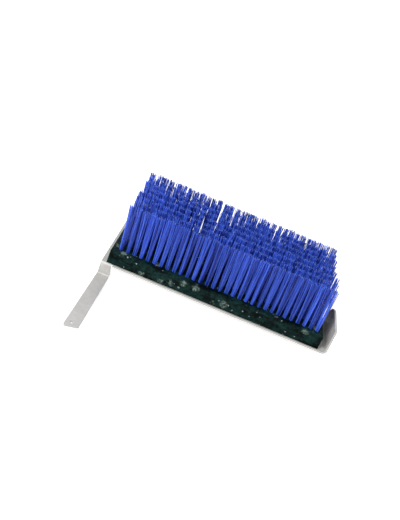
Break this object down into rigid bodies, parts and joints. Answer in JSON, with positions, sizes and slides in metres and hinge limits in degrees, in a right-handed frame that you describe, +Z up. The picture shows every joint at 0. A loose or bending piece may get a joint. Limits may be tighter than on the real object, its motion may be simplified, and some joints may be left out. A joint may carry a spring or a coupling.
{
  "type": "pool wall brush",
  "caption": "Flat rectangular scrubbing brush with stiff upright filament tufts in a plastic block, screwed to a bent steel bracket that has an end ear and a forward arm.",
  "frame": {"origin": "on the base plate's underside, under the middle of the brush block", "axes": "+X along the brush towards the ear, +Y towards the back and away from the arm, +Z up the tufts"},
  "size_m": [0.3209, 0.2825, 0.1045],
  "materials": {
    "steel_sheet": "plain cold-rolled sheet with a soft sheen",
    "recycled_plastic": "sawn, dark green with pale flecks",
    "filament": "satin royal blue filament",
    "staple_wire": "plain flat wire",
    "screw_steel": "plain"
  },
  "bodies": {
    "root": {"bracket": "steel_sheet", "brush_block": "recycled_plastic", "tuft_row_1": "filament", "tuft_row_2": "filament", "tuft_row_3": "filament", "tuft_row_4": "filament", "tuft_row_5": "filament", "tuft_row_6": "filament", "tuft_row_7": "filament", "tuft_row_8": "filament", "staple_row_1": "staple_wire", "staple_row_2": "staple_wire", "staple_row_3": "staple_wire", "staple_row_4": "staple_wire", "staple_row_5": "staple_wire", "staple_row_6": "staple_wire", "staple_row_7": "staple_wire", "staple_row_8": "staple_wire", "block_screws": "screw_steel"}
  },
  "joints": []
}
